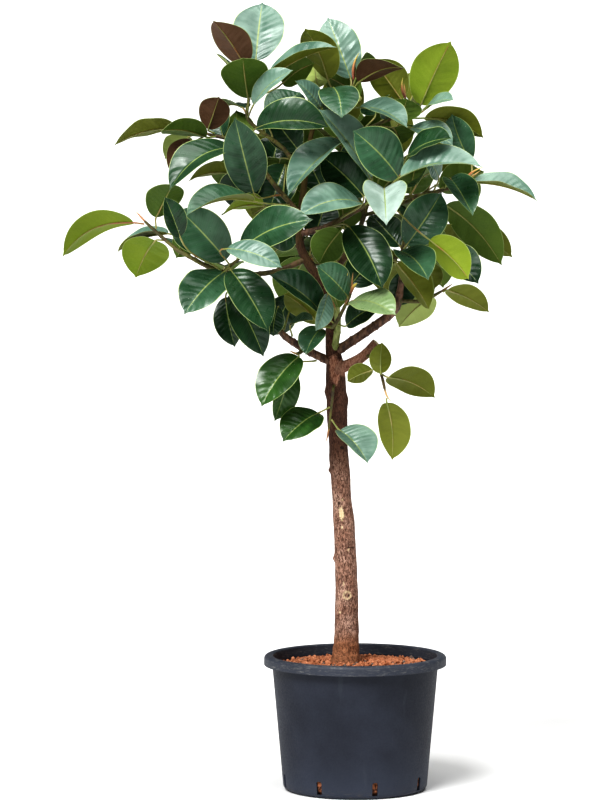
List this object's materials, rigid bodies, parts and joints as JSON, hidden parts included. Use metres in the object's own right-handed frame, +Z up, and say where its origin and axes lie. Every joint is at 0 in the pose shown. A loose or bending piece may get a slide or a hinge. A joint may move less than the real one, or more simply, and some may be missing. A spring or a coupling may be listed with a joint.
{
  "type": "potted rubber plant",
  "caption": "Rubber plant grown as a standard: bare woody trunk, rounded crown of large oval leaves, in a round tapered nursery pot filled with clay granules.",
  "frame": {"origin": "centre of the pot's flat underside, on the surface that the pot stands on", "axes": "+Z up along the trunk, +X to the right and -Y towards the front of the crown"},
  "size_m": [1.0654, 0.6266, 1.7796],
  "materials": {
    "pot_plastic": "matte",
    "clay_granules": "matte",
    "bark": "matte",
    "young_stem": "satin",
    "leaf": "satin"
  },
  "bodies": {
    "root": {"pot": "pot_plastic", "substrate": "clay_granules", "trunk": "bark", "branch_top_left": "young_stem", "branch_top_right": "young_stem", "branch_left": "young_stem", "branch_far_left": "young_stem", "branch_right_upper": "young_stem", "branch_right_lower": "young_stem", "branch_low_left": "young_stem", "branch_back": "young_stem", "shoot_centre": "young_stem", "shoot_low_right": "young_stem", "sprout_trunk": "young_stem", "leaf_top_left_1": "leaf", "leaf_top_left_2": "leaf", "leaf_top_left_3": "leaf", "leaf_top_left_4": "leaf", "leaf_top_left_5": "leaf", "leaf_top_1": "leaf", "leaf_top_2": "leaf", "leaf_top_3": "leaf", "leaf_top_4": "leaf", "leaf_top_right_1": "leaf", "leaf_top_right_2": "leaf", "leaf_top_right_3": "leaf", "leaf_left_1": "leaf", "leaf_left_2": "leaf", "leaf_left_3": "leaf", "leaf_left_4": "leaf", "leaf_far_left_1": "leaf", "leaf_far_left_2": "leaf", "leaf_far_left_3": "leaf", "leaf_front_left_1": "leaf", "leaf_front_left_2": "leaf", "leaf_front_left_3": "leaf", "leaf_front_left_4": "leaf", "leaf_front_left_5": "leaf", "leaf_right_upper_1": "leaf", "leaf_right_upper_2": "leaf", "leaf_right_upper_3": "leaf", "leaf_right_upper_4": "leaf", "leaf_right_upper_5": "leaf", "leaf_right_upper_6": "leaf", "leaf_far_right_1": "leaf", "leaf_far_right_2": "leaf", "leaf_far_right_3": "leaf", "leaf_right_lower_1": "leaf", "leaf_right_lower_2": "leaf", "leaf_right_lower_3": "leaf", "leaf_right_side_1": "leaf", "leaf_centre_1": "leaf", "leaf_centre_2": "leaf", "leaf_low_left_1": "leaf", "leaf_low_left_2": "leaf", "leaf_sprout_1": "leaf", "leaf_sprout_2": "leaf", "leaf_low_right_1": "leaf", "leaf_low_right_2": "leaf", "leaf_back_1": "leaf"}
  },
  "joints": []
}
